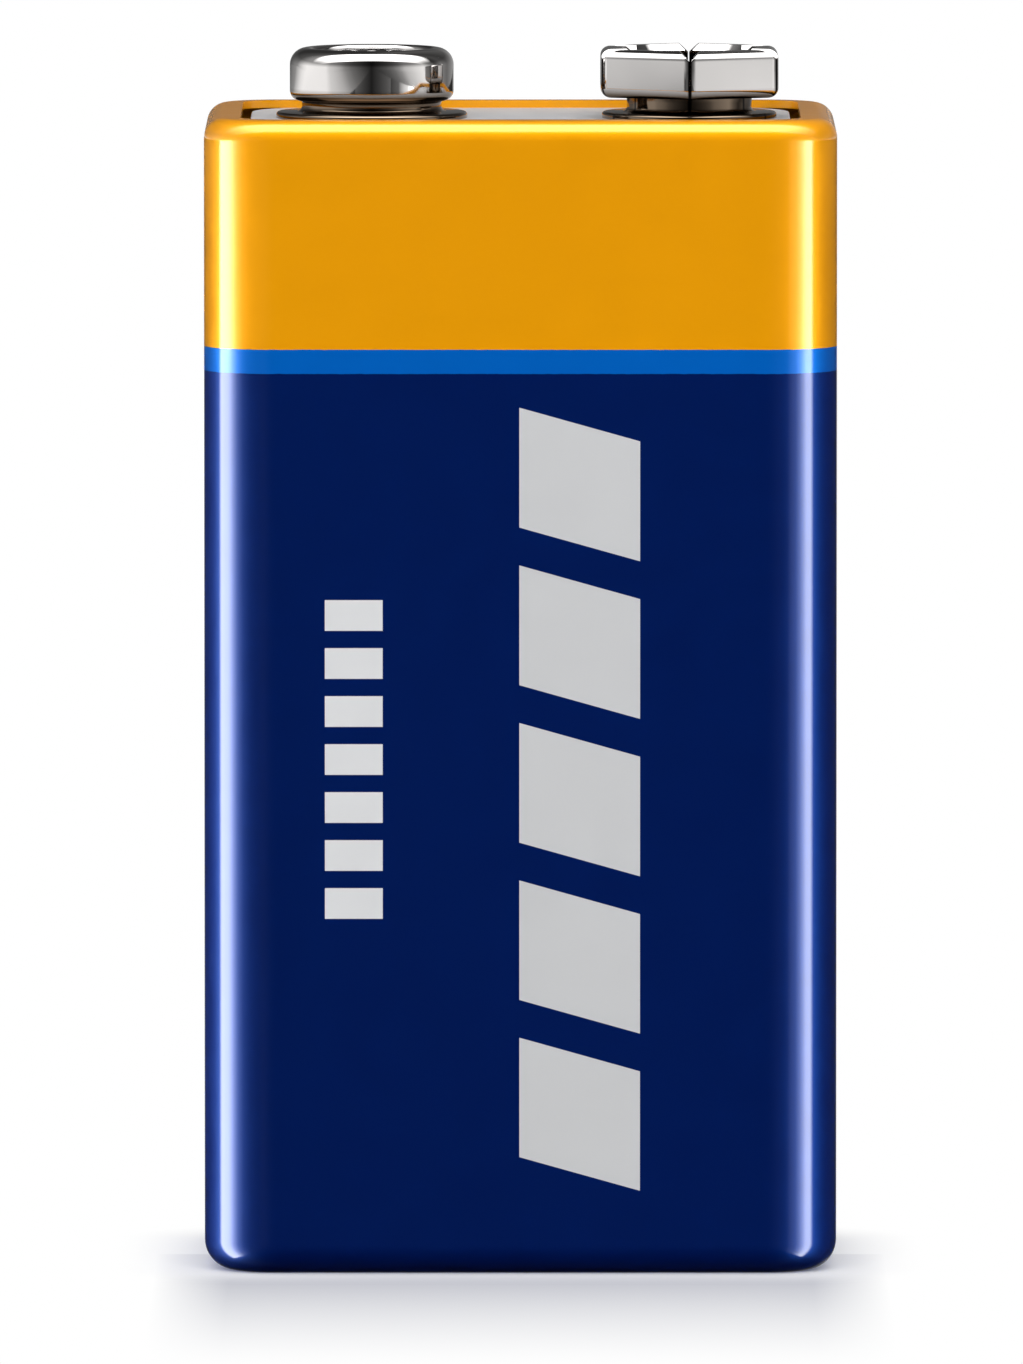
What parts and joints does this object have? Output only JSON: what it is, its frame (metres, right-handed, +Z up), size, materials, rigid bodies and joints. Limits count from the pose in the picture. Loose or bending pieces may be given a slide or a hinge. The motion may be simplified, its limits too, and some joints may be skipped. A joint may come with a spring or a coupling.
{
  "type": "nine volt battery",
  "caption": "Rectangular snap-terminal battery: printed steel jacket curled over a terminal board with a round stud and a hexagonal socket, cylindrical cells in series inside",
  "frame": {"origin": "middle of the flat ring that the battery stands on", "axes": "+Z up towards the terminals, -Y the printed front face, -X the positive stud, +X the negative socket"},
  "size_m": [0.0252, 0.0168, 0.0485],
  "materials": {
    "printed_steel": "gloss lacquer over print",
    "tinned_steel": "satin",
    "card": "matte",
    "film": "gloss",
    "black_plastic": "satin",
    "board": "satin",
    "nickel": "bright",
    "nickel_strip": "satin",
    "can_steel": "satin",
    "cathode_mix": "matte",
    "separator_paper": "matte",
    "anode_gel": "moist",
    "brass": "bright",
    "nylon": "satin"
  },
  "bodies": {
    "root": {"jacket": "printed_steel", "base_plate": "tinned_steel", "bottom_card": "card", "cell_wrap": "film", "top_card": "card", "top_tray": "black_plastic", "terminal_board": "board", "positive_stud": "nickel", "negative_socket": "nickel", "positive_eyelet": "nickel", "negative_eyelet": "nickel", "positive_strip": "nickel_strip", "negative_strip": "nickel_strip", "link_1_2": "nickel_strip", "link_2_3": "nickel_strip", "link_3_4": "nickel_strip", "link_4_5": "nickel_strip", "link_5_6": "nickel_strip", "cell_1_can": "can_steel", "cell_1_cathode": "cathode_mix", "cell_1_separator": "separator_paper", "cell_1_anode": "anode_gel", "cell_1_pin": "brass", "cell_1_seal": "nylon", "cell_1_cap": "tinned_steel", "cell_2_can": "can_steel", "cell_2_cathode": "cathode_mix", "cell_2_separator": "separator_paper", "cell_2_anode": "anode_gel", "cell_2_pin": "brass", "cell_2_seal": "nylon", "cell_2_cap": "tinned_steel", "cell_3_can": "can_steel", "cell_3_cathode": "cathode_mix", "cell_3_separator": "separator_paper", "cell_3_anode": "anode_gel", "cell_3_pin": "brass", "cell_3_seal": "nylon", "cell_3_cap": "tinned_steel", "cell_4_can": "can_steel", "cell_4_cathode": "cathode_mix", "cell_4_separator": "separator_paper", "cell_4_anode": "anode_gel", "cell_4_pin": "brass", "cell_4_seal": "nylon", "cell_4_cap": "tinned_steel", "cell_5_can": "can_steel", "cell_5_cathode": "cathode_mix", "cell_5_separator": "separator_paper", "cell_5_anode": "anode_gel", "cell_5_pin": "brass", "cell_5_seal": "nylon", "cell_5_cap": "tinned_steel", "cell_6_can": "can_steel", "cell_6_cathode": "cathode_mix", "cell_6_separator": "separator_paper", "cell_6_anode": "anode_gel", "cell_6_pin": "brass", "cell_6_seal": "nylon", "cell_6_cap": "tinned_steel"}
  },
  "joints": []
}
